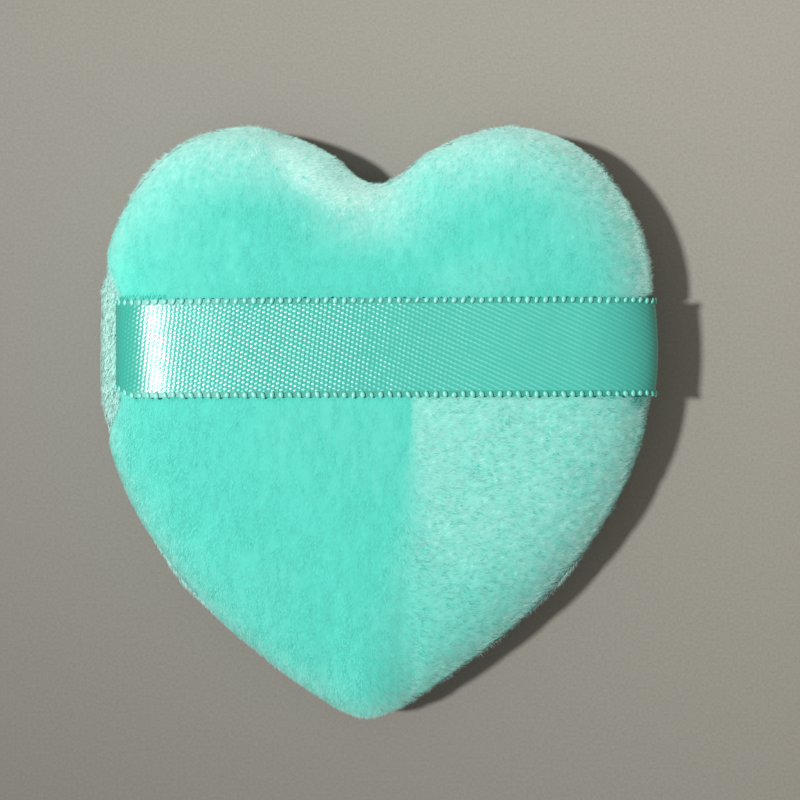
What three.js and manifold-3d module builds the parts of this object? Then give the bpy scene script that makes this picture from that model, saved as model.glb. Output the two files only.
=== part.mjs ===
// Powder puff: a heart-shaped velour pad with a satin finger ribbon across one side.
//
// Two velour covers meet in a seam round the pad's edge. Their allowances turn inwards, face
// each other and hold the ribbon's tails between them, and a lockstitch of two threads goes
// through the whole stack. A foam core fills the covers.
//
// Millimetres, +Z up, +Y towards the two lobes. The strap side is up, and the origin is on the
// rest plane below the middle of the whole part.

import * as THREE from "three";
import { mergeVertices } from "three/addons/utils/BufferGeometryUtils.js";
import Module from "manifold-3d";

const wasm = await Module();
wasm.setup();

// The pad's outline and height
const pad_width = 55.5; // across the two lobes
const pad_length = 59.6; // from the lobes' tops to the tip
const pad_thickness = 11; // from the rest plane to the crown
const tip_lean = 1; // how far the tip sits to the left of the cleft
const seam_height = 5; // from the rest plane to the middle of the seam
const rest_cut = 0.5; // how deep the powder side is pressed flat where it rests
const shoulder_width = 9; // how far in from the edge the rounded shoulder ends
const shoulder_power_share = 2.5; // 2 is a round shoulder, more is a squarer one
const dome_height = 1.1; // how much the stuffing lifts the middle above the shoulder
const dome_width = 21; // how far in from the edge the dome is level

// The right half of the heart, from the cleft to the tip: across as a share of half the
// width, and up from the tip as a share of the length
const outline_shares = [
  [0, 0.903],
  [0.068, 0.914],
  [0.169, 0.953],
  [0.335, 0.987],
  [0.49, 1],
  [0.7, 0.973],
  [0.843, 0.914],
  [0.94, 0.842],
  [0.991, 0.763],
  [1, 0.669],
  [0.995, 0.539],
  [0.958, 0.448],
  [0.872, 0.356],
  [0.735, 0.26],
  [0.562, 0.171],
  [0.364, 0.094],
  [0.177, 0.034],
  [0.094, 0.012],
  [0, 0],
];

// The velour and the seam
const cover_thickness = 1.2; // backing and pile
const allowance_thickness = 0.6; // the backing, with its pile pressed down
const allowance_edge = 1; // from the stitch holes to the raw edge
const fold_to_hole = 0.15; // from the cover's wall to the stitch holes
const seat_gap = 0.3; // between faces that touch

// The lockstitch. The outline is divided between its stitches.
const stitch_count = 56;
const thread_diameter = 0.2;
const thread_gap = 0.1; // between the two threads where they lock, and off the allowances
const bobbin_turn_share = 1.2; // how far the bobbin thread slants as it leaves the lock
const stitch_hole = 1.2; // side of the square hole that a stitch passes through

// The ribbon
const ribbon_width = 10;
const ribbon_thickness = 0.25;
const ribbon_above_tip = 37.4; // from the tip to the ribbon's middle
const ribbon_slack = 2.4; // how far the right end stands off the pad's edge
const tail_length = 3; // the part of each end that lies in the seam
const tail_pull_in = 1.9; // how far the ribbon draws the seam in
const tail_pull_up = 0.8; // and up
const tail_pull_fade = 5; // how far beside the ribbon the seam is back in line

// How finely the curved faces are divided
const thread_sides = 5;
const steps_in_stitch = 6;
const steps_on_outline = 2000;

// Where the rings of each face lie. Those near the edge are shares of the shoulder's width,
// measured in from the edge. The rest are shares of the way out from the middle to the edge.
const edge_ring_shares = [0.02, 0.1, 0.28];
const middle_ring_shares = [0.82, 0.6];
const inner_edge_ring_shares = [0.035, 0.42];
const inner_middle_ring_share = 0.6;
const core_bevel_share = 0.05;
const heart_middle_share = 0.06; // how far the rings' middle is above the outline's

// How much of the ribbon's slack each edge ring takes at the right end, and where the ribbon
// touches the crown, as shares of the shoulder's width in from the edge
const slack_shares = [1, 0.75, 0.15];
const ribbon_touch_shares = [0.55, 1.25];

// Sizes that follow from those above
const half_width = pad_width / 2;
const stitch_inset = cover_thickness + fold_to_hole + stitch_hole / 2;
const allowance_width = stitch_inset + stitch_hole / 2 + allowance_edge;
const ribbon_y = ribbon_above_tip - pad_length / 2;
const ribbon_seat = seat_gap + ribbon_thickness / 2;
const middle_of_heart = new THREE.Vector2(0, heart_middle_share * pad_length);

// The covers' outer faces: the side of the seam, how far the middle stands off it, how much of
// that is the dome, and whether the ribbon's tails draw the face's edge along with the seam
const strap_face = { side: 1, height: pad_thickness - seam_height, dome: dome_height, drawn: 1 };
const powder_face = { side: -1, height: seam_height + rest_cut, dome: 0, drawn: 0 };

// The heart's edge at each station, clockwise from the cleft as seen from the strap side
function outlineCurve() {
  const right = outline_shares.map(([across, up]) => {
    const lean = -tip_lean * (1 - up) ** 2;
    return [across * half_width, (up - 1 / 2) * pad_length, lean];
  });
  const left = right.slice(1, -1).reverse();
  const points = [
    ...right.map(([x, y, lean]) => new THREE.Vector3(x + lean, y, 0)),
    ...left.map(([x, y, lean]) => new THREE.Vector3(-x + lean, y, 0)),
  ];
  const curve = new THREE.CatmullRomCurve3(points, true, "centripetal");
  curve.arcLengthDivisions = steps_on_outline;
  return curve;
}

const outline = outlineCurve();

// A share that leaves 0 and reaches 1 without a bend
function smoothShare(value) {
  const share = THREE.MathUtils.clamp(value, 0, 1);
  return share * share * (3 - 2 * share);
}

// How strongly the ribbon's tails draw the seam at this height of the outline: 1 at the
// ribbon, and 0 from tail_pull_fade beside it
function pullAt(y) {
  const beside = Math.abs(y - ribbon_y) - ribbon_width / 2;
  return smoothShare(1 - beside / tail_pull_fade);
}

// A station holds its place on the edge, the way in, and the ribbon's pull there
function stationAt(share) {
  const place = outline.getPointAt(share % 1);
  const along = outline.getTangentAt(share % 1);
  const inward = new THREE.Vector2(along.y, -along.x).normalize();
  return { edge: new THREE.Vector2(place.x, place.y), inward, pull: pullAt(place.y) };
}

function stationsOf(count) {
  return Array.from({ length: count }, (_, i) => stationAt(i / count));
}

const rim = stationsOf(stitch_count);
const fine_rim = stationsOf(stitch_count * steps_in_stitch).map((s) => s.edge);

// How far a place inside the heart is from its edge
function distanceToEdge(place) {
  return Math.min(...fine_rim.map((p) => p.distanceTo(place)));
}

// The shoulder: the share of its full height that a face has, at a share of its width in from
// the edge
function shoulderShare(in_share) {
  const out = 1 - THREE.MathUtils.clamp(in_share, 0, 1);
  return (1 - out ** shoulder_power_share) ** (1 / shoulder_power_share);
}

// The height of a face this far in from the edge, where the ribbon's tails pull this much.
// below is how deep the place lies under the face, as on a cover's inner side.
function heightOf(face, distance, pull, below) {
  const share = shoulderShare((distance - below) / (shoulder_width - below));
  const shoulder = share * (face.height - face.dome - below);
  const dome = face.dome * smoothShare(distance / dome_width);
  const lift = (1 - share) * pull * tail_pull_up;
  return Math.max(seam_height + lift + face.side * (shoulder + dome), 0);
}

// How far in from the edge a place of the shoulder was before the ribbon's tails drew it in.
// The seam moves in by the whole pull, and the shoulder's top stays.
function undrawn(distance, pull) {
  const drawn = pull * tail_pull_in;
  const before = (distance - drawn) / (1 - drawn / shoulder_width);
  return distance < shoulder_width ? before : distance;
}

// The seam at a station: its middle height, and half the gap between the two allowances,
// which open to let the ribbon's tails lie between them
function seamHeightAt(station) {
  return seam_height + station.pull * tail_pull_up;
}

function halfGapAt(station) {
  const tail_share = station.pull > 0 ? Math.min(1, 2 * station.pull) : 0;
  return seat_gap / 2 + tail_share * (ribbon_thickness + seat_gap) / 2;
}

// A place this far in from the drawn-in seam at a station, at a height above the rest plane
function placeAt(station, inset, pull_share, z) {
  const way = inset + pull_share * station.pull * tail_pull_in;
  const place = station.edge.clone().addScaledVector(station.inward, way);
  return new THREE.Vector3(place.x, place.y, Math.max(z, 0));
}

// A place on the way from the heart's middle to a station
function placeOnWay(station, out_share) {
  return middle_of_heart.clone().lerp(station.edge, out_share);
}

// A cover's faces as rings of places, from the middle of its outer face over the edge and
// the allowance to the middle of its inner face
function coverGeometry(face) {
  const { side, drawn } = face;
  const wall = cover_thickness;
  const middlePlace = (out_share, below) => (station) => {
    const place = placeOnWay(station, out_share);
    const pull = drawn * pullAt(place.y);
    const distance = undrawn(distanceToEdge(place), pull);
    return new THREE.Vector3(place.x, place.y, heightOf(face, distance, pull, below));
  };
  const outer_middle = middle_ring_shares.map((out_share) => middlePlace(out_share, 0));
  const outer_edge = edge_ring_shares.map((in_share) => (station) => {
    const distance = in_share * shoulder_width;
    const z = heightOf(face, distance, drawn * station.pull, 0);
    return placeAt(station, distance, drawn * (1 - in_share), z);
  });
  const allowancePlace = (inset, lift) => (station) =>
    placeAt(station, inset, 1, seamHeightAt(station) + side * (halfGapAt(station) + lift));
  const inner_edge = inner_edge_ring_shares.map((in_share) => (station) => {
    const distance = wall + in_share * (shoulder_width - wall);
    const turned_in = halfGapAt(station) + allowance_thickness;
    const rise = side * turned_in * (1 - shoulderShare(in_share));
    const z = heightOf(face, distance, station.pull, wall) + rise;
    return placeAt(station, distance, 1 - in_share, z);
  });
  const inner_middle = middlePlace(inner_middle_ring_share, wall);
  const outer = [...outer_middle.reverse(), ...outer_edge.reverse()];
  const rings = [
    ...outer,
    allowancePlace(0, 0),
    allowancePlace(allowance_width, 0),
    allowancePlace(allowance_width, allowance_thickness),
    allowancePlace(wall, allowance_thickness),
    ...inner_edge,
    inner_middle,
  ].map((at) => rim.map(at));
  const holeCorners = (lift, outermost_first) => rim.map((_, i) => {
    const at = stitchStation((i + 1 / 2) / stitch_count);
    const z = at.height + side * (at.half_gap + lift);
    const corners = squareAt(at).map((p) => new THREE.Vector3(p.x, p.y, z));
    return outermost_first ? corners : corners.reverse();
  });
  return skinned({
    rings,
    first: onAxis(Math.max(seam_height + side * face.height, 0)),
    last: onAxis(seam_height + side * (face.height - wall)),
    pierced: {
      enters: outer.length,
      leaves: outer.length + 2,
      enter_corners: holeCorners(0, true),
      leave_corners: holeCorners(allowance_thickness, false),
    },
  });
}

// The corners of a stitch's square hole: the two nearer the pad's edge, then the inner two
function squareAt(at) {
  const across = at.inward.clone().multiplyScalar(stitch_hole / 2);
  const along = new THREE.Vector2(-at.inward.y, at.inward.x).multiplyScalar(stitch_hole / 2);
  const corner = (out, on) =>
    at.place.clone().addScaledVector(across, out).addScaledVector(along, on);
  return [corner(-1, -1), corner(-1, 1), corner(1, 1), corner(1, -1)];
}

function onAxis(z) {
  return new THREE.Vector3(middle_of_heart.x, middle_of_heart.y, z);
}

// A closed solid skinned over rings of places, with a point at each end. Where it is pierced,
// each cell of one band of its skin has a hole that comes out in the same cell of another.
function skinned({ rings, first, last, pierced }) {
  const count = rings[0].length;
  const places = [first, ...rings.flat(), last];
  const end = places.length - 1;
  const corner = (ring, i) => 1 + ring * count + (i % count);
  const add = (corners) => places.push(...corners) - corners.length;
  const triangles = [];
  const quad = (a, b, c, d) => triangles.push([a, b, c], [a, c, d]);
  const around = (outer, inner) => {
    for (let k = 0; k < 4; k += 1) {
      const next = (k + 1) % 4;
      quad(outer[k], outer[next], inner[next], inner[k]);
    }
  };
  for (let i = 0; i < count; i += 1) {
    triangles.push([0, corner(0, i + 1), corner(0, i)]);
    const mouths = [];
    for (let ring = 0; ring < rings.length - 1; ring += 1) {
      const cell = [
        corner(ring, i), corner(ring, i + 1), corner(ring + 1, i + 1), corner(ring + 1, i),
      ];
      if (pierced && (ring === pierced.enters || ring === pierced.leaves)) {
        const corners = ring === pierced.enters ? pierced.enter_corners : pierced.leave_corners;
        const start = add(corners[i]);
        const mouth = [start, start + 1, start + 2, start + 3];
        around(cell, mouth);
        mouths.push(mouth);
      } else {
        quad(...cell);
      }
    }
    if (pierced) {
      around(mouths[0], mouths[1].reverse());
    }
    triangles.push([end, corner(rings.length - 1, i), corner(rings.length - 1, i + 1)]);
  }
  const geometry = new THREE.BufferGeometry();
  geometry.setAttribute("position", new THREE.Float32BufferAttribute(
    places.flatMap((p) => [p.x, p.y, p.z]), 3));
  geometry.setIndex(facingOut(places, triangles).flat());
  return geometry;
}

// The triangles, turned over if they enclose their solid from inside
function facingOut(places, triangles) {
  const volume = triangles.reduce((sum, [a, b, c]) =>
    sum + places[a].dot(new THREE.Vector3().crossVectors(places[b], places[c])), 0);
  return volume > 0 ? triangles : triangles.map(([a, b, c]) => [a, c, b]);
}

// Cutting one solid from another
function solidOf(geometry) {
  const bare = geometry.clone();
  bare.deleteAttribute("normal");
  bare.deleteAttribute("uv");
  const merged = mergeVertices(bare);
  return new wasm.Manifold(new wasm.Mesh({
    numProp: 3,
    vertProperties: new Float32Array(merged.attributes.position.array),
    triVerts: new Uint32Array(merged.index.array),
  }));
}

function geometryOf(solid) {
  const mesh = solid.getMesh();
  const geometry = new THREE.BufferGeometry();
  geometry.setAttribute("position", new THREE.Float32BufferAttribute(mesh.vertProperties, 3));
  geometry.setIndex(new THREE.Uint32BufferAttribute(mesh.triVerts, 1));
  return geometry;
}

function cutFrom(geometry, cutters) {
  let solid = solidOf(geometry);
  for (const cutter of cutters) {
    solid = solid.subtract(solidOf(cutter));
  }
  return geometryOf(solid);
}

// The stitch line runs inside the cover's wall, all the way round the seam
function stitchStation(share) {
  const station = stationAt(share);
  const way = stitch_inset + station.pull * tail_pull_in;
  return {
    ...station,
    place: station.edge.clone().addScaledVector(station.inward, way),
    height: seamHeightAt(station),
    half_gap: halfGapAt(station),
  };
}

// The square holes through both allowances and the ribbon's tails, one at each stitch
function stitchHoles() {
  const depth = 2 * (halfGapAt({ pull: 1 }) + allowance_thickness) + 2 * seat_gap;
  return Array.from({ length: stitch_count }, (_, i) => {
    const at = stitchStation((i + 1 / 2) / stitch_count);
    const hole = new THREE.BoxGeometry(stitch_hole, stitch_hole, depth);
    hole.rotateZ(Math.atan2(at.inward.y, at.inward.x));
    hole.translate(at.place.x, at.place.y, at.height);
    return hole;
  });
}

// A thread's way through one stitch, as steps of: share of the stitch, across it, and height.
// The needle thread dips through the stack in a loop, and the bobbin thread rises through
// that loop, so that each holds the other in the middle of the seam.
const lock_reach = thread_diameter + thread_gap;

function needleSteps(at, pitch) {
  const top = at.half_gap + allowance_thickness + thread_gap + thread_diameter / 2;
  const turn_share = thread_diameter / 2 / pitch;
  return [
    [0, 0, -lock_reach / 2],
    [0, lock_reach, lock_reach / 2],
    [turn_share, lock_reach, top],
    [1 / 2, 0, top],
    [1 - turn_share, -lock_reach, top],
    [1, -lock_reach, lock_reach / 2],
  ];
}

function bobbinSteps(at, pitch) {
  const bottom = at.half_gap + allowance_thickness + thread_gap + thread_diameter / 2;
  const turn_share = lock_reach / pitch;
  return [
    [0, 0, lock_reach / 2],
    [turn_share, 0, -lock_reach / 4],
    [bobbin_turn_share * turn_share, 0, -bottom],
    [1 / 2, 0, -bottom],
    [1 - bobbin_turn_share * turn_share, 0, -bottom],
    [1 - turn_share, 0, -lock_reach / 4],
  ];
}

function threadAlong(stepsOf) {
  const pitch = outline.getLength() / stitch_count;
  const places = [];
  for (let i = 0; i < stitch_count; i += 1) {
    const start = stitchStation((i + 1 / 2) / stitch_count);
    for (const [share, across, height] of stepsOf(start, pitch)) {
      const at = stitchStation((i + 1 / 2 + share) / stitch_count);
      const place = at.place.clone().addScaledVector(at.inward, across);
      const grown = Math.sign(height) * (at.half_gap - start.half_gap);
      const level = Math.abs(height) > lock_reach ? height + grown : height;
      places.push(new THREE.Vector3(place.x, place.y, at.height + level));
    }
  }
  const way = new THREE.CatmullRomCurve3(places, true, "centripetal");
  const steps = places.length;
  return new THREE.TubeGeometry(stepwise(way, steps), steps, thread_diameter / 2, thread_sides, true);
}

// The same curve, but walked from one of its own points to the next at each step
function stepwise(curve, steps) {
  curve.getPointAt = (share, target) => curve.getPoint(Math.round(share * steps) / steps, target);
  curve.getTangentAt = (share, target) => curve.getTangent(Math.round(share * steps) / steps, target);
  return curve;
}

// The foam core fills the covers inside the allowances' raw edges
function coreGeometry() {
  const inset = allowance_width + seat_gap;
  const below = cover_thickness + seat_gap;
  const bevel = core_bevel_share * shoulder_width;
  const ringsOf = (face) => {
    const middle = (station) => {
      const place = placeOnWay(station, inner_middle_ring_share);
      return new THREE.Vector3(place.x, place.y, heightOf(face, distanceToEdge(place), 0, below));
    };
    const z = heightOf(face, inset, 0, below);
    const top = (station) => placeAt(station, inset + bevel, 1, z);
    const side_wall = (station) => placeAt(station, inset, 1, z - face.side * bevel);
    return [middle, top, side_wall].map((at) => rim.map(at));
  };
  const middleOf = (face) => onAxis(seam_height + face.side * (face.height - below));
  return skinned({
    rings: [...ringsOf(strap_face), ...ringsOf(powder_face).reverse()],
    first: middleOf(strap_face),
    last: middleOf(powder_face),
  });
}

// The ribbon's way across the pad, seen from the tip: out of the seam on the left, over the
// strap side, past the edge with a little slack, and back into the seam on the right
function ribbonWay() {
  const station = { pull: 1 };
  const z_seam = seamHeightAt(station);
  const x_seam = half_width - tail_pull_in;
  const side = (way, slack) => {
    const rings = edge_ring_shares.map((in_share, i) => {
      const distance = in_share * shoulder_width;
      const inset = distance + (1 - in_share) * tail_pull_in;
      const out = ribbon_seat + slack * slack_shares[i];
      const lean = in_share / edge_ring_shares[edge_ring_shares.length - 1];
      const z = heightOf(strap_face, distance, 1, 0) + ribbon_seat * lean;
      return [half_width - inset + out * (1 - lean / 2), z];
    });
    const turn = [x_seam + ribbon_seat + slack * slack_shares[0] / 2, z_seam + ribbon_seat];
    return [[x_seam - tail_length, z_seam], [x_seam, z_seam], turn, ...rings]
      .map(([x, z]) => new THREE.Vector2(way * x, z));
  };
  const crown = ribbon_touch_shares.map((in_share) => {
    const x = half_width - in_share * shoulder_width;
    const distance = undrawn(distanceToEdge(new THREE.Vector2(x, ribbon_y)), 1);
    return new THREE.Vector2(x, heightOf(strap_face, distance, 1, 0) + ribbon_seat);
  });
  const crown_left = crown.map((p) => new THREE.Vector2(-p.x, p.y));
  return [
    ...side(-1, 0), ...crown_left,
    new THREE.Vector2(0, pad_thickness + ribbon_seat),
    ...crown.reverse(), ...side(1, ribbon_slack).reverse(),
  ];
}

// A band of the ribbon's thickness along its way, as wide as the ribbon
function ribbonGeometry() {
  const spline = new THREE.SplineCurve(ribbonWay());
  const count = 3 * spline.points.length;
  const places = Array.from({ length: count + 1 }, (_, i) => spline.getPoint(i / count));
  const above = places.map((place, i) => {
    const along = spline.getTangent(i / count);
    const out = new THREE.Vector2(-along.y, along.x);
    return place.clone().addScaledVector(out, ribbon_thickness / 2);
  });
  const below = places.map((place, i) => place.clone().multiplyScalar(2).sub(above[i]));
  const band = new THREE.Shape([...above, ...below.reverse()]);
  const geometry = new THREE.ExtrudeGeometry(band, { depth: ribbon_width, bevelEnabled: false, steps: 1 });
  geometry.rotateX(Math.PI / 2);
  geometry.translate(0, ribbon_y + ribbon_width / 2, 0);
  return geometry;
}

// The materials, one for each kind of cloth, foam and thread
const velour = new THREE.MeshStandardMaterial({ color: 0x66dfcc, roughness: 0.95, metalness: 0 });
const satin = new THREE.MeshStandardMaterial({ color: 0x5fcdbd, roughness: 0.3, metalness: 0 });
const foam = new THREE.MeshStandardMaterial({ color: 0xf0ece0, roughness: 0.9, metalness: 0 });
const thread = new THREE.MeshStandardMaterial({ color: 0x58c9b8, roughness: 0.6, metalness: 0 });

const pieces = [
  ["powder_side_cover", coverGeometry(powder_face), velour],
  ["foam_core", coreGeometry(), foam],
  ["seam_bobbin_thread", threadAlong(bobbinSteps), thread],
  ["seam_needle_thread", threadAlong(needleSteps), thread],
  ["finger_ribbon", cutFrom(ribbonGeometry(), stitchHoles()), satin],
  ["strap_side_cover", coverGeometry(strap_face), velour],
];

const puff = new THREE.Group();
for (const [name, geometry, material] of pieces) {
  const mesh = new THREE.Mesh(geometry, material);
  mesh.name = name;
  puff.add(mesh);
}

// The slack end of the ribbon stands past the pad, so the middle of the whole part is found
// from its box
const middle = new THREE.Box3().setFromObject(puff).getCenter(new THREE.Vector3());
puff.position.set(-middle.x, -middle.y, 0);

export default puff;
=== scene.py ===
# %% [markdown]
# # A powder puff
# This scene dresses the CAD model of a heart-shaped powder puff: a foam pad in two velour
# covers, with a satin ribbon across one side for the fingers. The CAD model gives every size
# and every place. Blender adds what CAD can't show well, which is the soft form of the
# stuffing, the pile of the velour and the weave of the satin.

# %% Open the frame
import math

import bmesh
import bpy
import numpy as np
from mathutils import Matrix, Vector


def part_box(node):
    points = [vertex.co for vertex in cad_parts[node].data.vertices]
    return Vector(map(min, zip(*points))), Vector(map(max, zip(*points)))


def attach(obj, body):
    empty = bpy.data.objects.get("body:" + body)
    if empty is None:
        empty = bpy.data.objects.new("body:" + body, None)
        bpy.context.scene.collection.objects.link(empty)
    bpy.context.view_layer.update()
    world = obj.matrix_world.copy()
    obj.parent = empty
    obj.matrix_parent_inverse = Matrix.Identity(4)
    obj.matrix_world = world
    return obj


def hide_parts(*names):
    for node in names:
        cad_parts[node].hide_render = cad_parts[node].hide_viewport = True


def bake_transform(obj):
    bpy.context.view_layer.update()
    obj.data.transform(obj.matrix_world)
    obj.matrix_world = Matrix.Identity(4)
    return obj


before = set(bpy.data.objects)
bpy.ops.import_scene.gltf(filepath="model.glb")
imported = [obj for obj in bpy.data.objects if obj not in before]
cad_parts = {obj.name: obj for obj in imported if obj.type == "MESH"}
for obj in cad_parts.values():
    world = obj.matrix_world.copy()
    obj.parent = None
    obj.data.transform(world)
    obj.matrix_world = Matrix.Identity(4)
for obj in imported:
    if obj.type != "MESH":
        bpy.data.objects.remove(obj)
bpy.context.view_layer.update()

powder_low, powder_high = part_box("powder_side_cover")
strap_low, strap_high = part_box("strap_side_cover")
ribbon_low, ribbon_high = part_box("finger_ribbon")
print("nodes:", sorted(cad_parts))

# %% [markdown]
# ## Sizes
# A small object is easiest to get right in millimetres, so one name turns millimetres into
# Blender's metres. What the frame can tell is read from it, such as the crown's height and the
# ribbon's width. The other sizes are chosen here, and everything later follows from them.

# %% Driving sizes
mm = 0.001
pad_width = 55.5 * mm
pad_length = 59.6 * mm
tip_lean = 1.0 * mm
shoulder_width = 9.0 * mm
shoulder_power = 2.5
seam_height = 5.0 * mm
swell_height = 1.1 * mm
crown_height = strap_high.z - seam_height - swell_height
belly_height = seam_height + 0.5 * mm
wall_thickness = 1.2 * mm
allowance_width = 3.55 * mm
allowance_thickness = 0.6 * mm
seam_half_gap = 0.15 * mm
seat_gap = 0.3 * mm
tail_pull_in = 1.9 * mm
tail_pull_up = 0.8 * mm
tail_pull_fade = 5.0 * mm
slack_pull_from = -1.0 * mm
slack_pull_to = 0.3 * mm
rim_bulge = 0.62 * mm
rim_bulge_shares = (0, 0.35, 0.5, 0.95)
rim_bulge_fade = (0.6 * mm, 4.5 * mm)
core_inset = 4.5 * mm
ribbon_width = ribbon_high.y - ribbon_low.y
ribbon_middle_y = (ribbon_high.y + ribbon_low.y) / 2
ribbon_face = ribbon_width - 0.1 * mm
ribbon_y = ribbon_middle_y - 0.25 * mm
ribbon_press = 0.15 * mm
ribbon_bed = (-0.2 * mm, 1.2 * mm)
pile_length = 0.45 * mm
pile_depth = 0.2 * mm
print(f"crown {crown_height / mm:.2f} mm above the seam, ribbon {ribbon_width / mm:.1f} mm wide")

# %% [markdown]
# ## The heart's edge
# The pad was cut as a heart and sewn round its edge. One half of that edge is given by a few
# points, as shares of the pad's size, and the other half is its mirror image. A closed curve
# runs through all of them. A centripetal curve is used because it makes no loops where points
# are close together, as at the cleft and the tip.

# %% Points of the right half, from the cleft to the tip
heart_shares = np.array([
    (0, 0.903), (0.068, 0.914), (0.169, 0.953), (0.335, 0.987), (0.49, 1), (0.7, 0.973),
    (0.843, 0.914), (0.94, 0.842), (0.991, 0.763), (1, 0.669), (0.995, 0.539), (0.958, 0.448),
    (0.872, 0.356), (0.735, 0.26), (0.562, 0.171), (0.364, 0.094), (0.177, 0.034),
    (0.094, 0.012), (0, 0),
])


def heart_points():
    across, up = heart_shares.T
    lean = -tip_lean * (1 - up) ** 2
    x = across * pad_width / 2
    y = (up - 0.5) * pad_length
    right = np.stack([x + lean, y], axis=1)
    left = np.stack([-x + lean, y], axis=1)
    return np.concatenate([right, left[1:-1][::-1]])


# %% A closed curve through the points
def closed_curve(points, steps):
    before = np.roll(points, 1, axis=0)
    after = np.roll(points, -1, axis=0)
    beyond = np.roll(points, -2, axis=0)

    def knot_gap(a, b):
        return np.sqrt(np.linalg.norm(b - a, axis=1))[:, None]

    gap_a = knot_gap(before, points)
    gap_b = knot_gap(points, after)
    gap_c = knot_gap(after, beyond)
    leave = (points - before) / gap_a - (after - before) / (gap_a + gap_b) + (after - points) / gap_b
    arrive = (after - points) / gap_b - (beyond - points) / (gap_b + gap_c) + (beyond - after) / gap_c
    leave = leave * gap_b
    arrive = arrive * gap_b
    spans = []
    for t in np.linspace(0, 1, steps, endpoint=False):
        bent = (2 * points - 2 * after + leave + arrive) * t ** 3
        turned = (3 * after - 3 * points - 2 * leave - arrive) * t ** 2
        spans.append(bent + turned + leave * t + points)
    return np.stack(spans, axis=1).reshape(-1, 2)


def evenly(curve, count):
    closed = np.vstack([curve, curve[:1]])
    way = np.concatenate([[0], np.cumsum(np.linalg.norm(np.diff(closed, axis=0), axis=1))])
    marks = np.linspace(0, way[-1], count, endpoint=False)
    return np.stack([np.interp(marks, way, closed[:, k]) for k in (0, 1)], axis=1)


edge = evenly(closed_curve(heart_points(), 40), 1200)
box_middle = (edge.min(0) + edge.max(0)) / 2
axis_x = (powder_low.x + powder_high.x) / 2 - box_middle[0]
axis_y = (powder_low.y + powder_high.y) / 2 - box_middle[1]
edge += (axis_x, axis_y)
heart_middle = np.array([axis_x, axis_y + 0.06 * pad_length])
print(f"edge of {len(edge)} points, {np.ptp(edge, axis=0) / mm} mm, axis at {axis_x / mm:.2f} mm")

# %% How far a place is from the edge, and which way is in
along = np.roll(edge, -1, axis=0) - np.roll(edge, 1, axis=0)
edge_inward = np.stack([along[:, 1], -along[:, 0]], axis=1)
edge_inward /= np.linalg.norm(edge_inward, axis=1)[:, None]


def nearest_edge(places):
    found = np.empty(len(places), int)
    for start in range(0, len(places), 4000):
        block = places[start:start + 4000]
        apart = ((block[:, None, :] - edge[None]) ** 2).sum(2)
        found[start:start + 4000] = apart.argmin(1)
    return found


def distance_in(places):
    nearest = nearest_edge(places)
    best = np.full(len(places), np.inf)
    for step in (-1, 0):
        a = edge[(nearest + step) % len(edge)]
        b = edge[(nearest + step + 1) % len(edge)]
        span = b - a
        share = ((places - a) * span).sum(1) / (span ** 2).sum(1)
        foot = a + span * np.clip(share, 0, 1)[:, None]
        best = np.minimum(best, np.linalg.norm(places - foot, axis=1))
    return best, nearest


def smooth_step(low, high, value):
    share = np.clip((value - low) / (high - low), 0, 1)
    return share * share * (3 - 2 * share)


def near(distance, reach):
    return np.exp(-distance / reach)


# %% [markdown]
# ## The pad's form
# Each side of the pad is one square sheet of cells, bent to the heart. A square bends to a disc
# without a pole in its middle, and the disc stretches to the heart along straight ways from
# the middle. The pad is high in its middle and rounds over to the seam at its edge, so the
# cells are spaced by the length of that rounded section, and none is stretched at the edge.

# %% From a square to the heart
angles = np.arctan2(edge[:, 1] - heart_middle[1], edge[:, 0] - heart_middle[0])
reach = np.linalg.norm(edge - heart_middle, axis=1)
order = np.argsort(angles)
turned = np.concatenate([angles[order] - 2 * np.pi, angles[order], angles[order] + 2 * np.pi])
reaches = np.tile(reach[order], 3)


def shoulder(distance):
    out = 1 - np.clip(distance / shoulder_width, 0, 1)
    return (1 - out ** shoulder_power) ** (1 / shoulder_power)


def section_table():
    way = np.sin(np.linspace(0, np.pi / 2, 2000)) ** 0.5
    out = way * pad_width / 2
    up = shoulder(pad_width / 2 - out) * (crown_height + belly_height) / 2
    length = np.concatenate([[0], np.cumsum(np.hypot(np.diff(out), np.diff(up)))])
    return length / length[-1], way


section_length, section_way = section_table()


def off_heart(places):
    away = places - heart_middle
    angle = np.arctan2(away[:, 1], away[:, 0])
    way = np.linalg.norm(away, axis=1) / np.interp(angle, turned, reaches)
    disc = np.interp(way, section_way, section_length)
    u = disc * np.cos(angle)
    v = disc * np.sin(angle)

    def root(value):
        return np.sqrt(np.maximum(value, 0))

    half = math.sqrt(2)
    s = (root(2 + u * u - v * v + 2 * half * u) - root(2 + u * u - v * v - 2 * half * u)) / 2
    t = (root(2 - u * u + v * v + 2 * half * v) - root(2 - u * u + v * v - 2 * half * v)) / 2
    return s, t


def on_heart(s, t):
    x = s * np.sqrt(1 - t * t / 2)
    y = t * np.sqrt(1 - s * s / 2)
    way = np.interp(np.hypot(x, y), section_length, section_way)
    angle = np.arctan2(y, x)
    out = way * np.interp(angle, turned, reaches)
    return heart_middle + np.stack([np.cos(angle), np.sin(angle)], axis=1) * out[:, None]


# %% The rounded pad before it is stuffed
def past_ribbon(places):
    return np.abs(places[:, 1] - ribbon_middle_y) - ribbon_width / 2


def tail_pull(places):
    beside = past_ribbon(places)
    tight = 1 - smooth_step(0, tail_pull_fade, beside)
    slack = 1 - smooth_step(slack_pull_from, slack_pull_to, beside)
    return np.where(places[:, 0] < axis_x, tight, slack)


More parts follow.
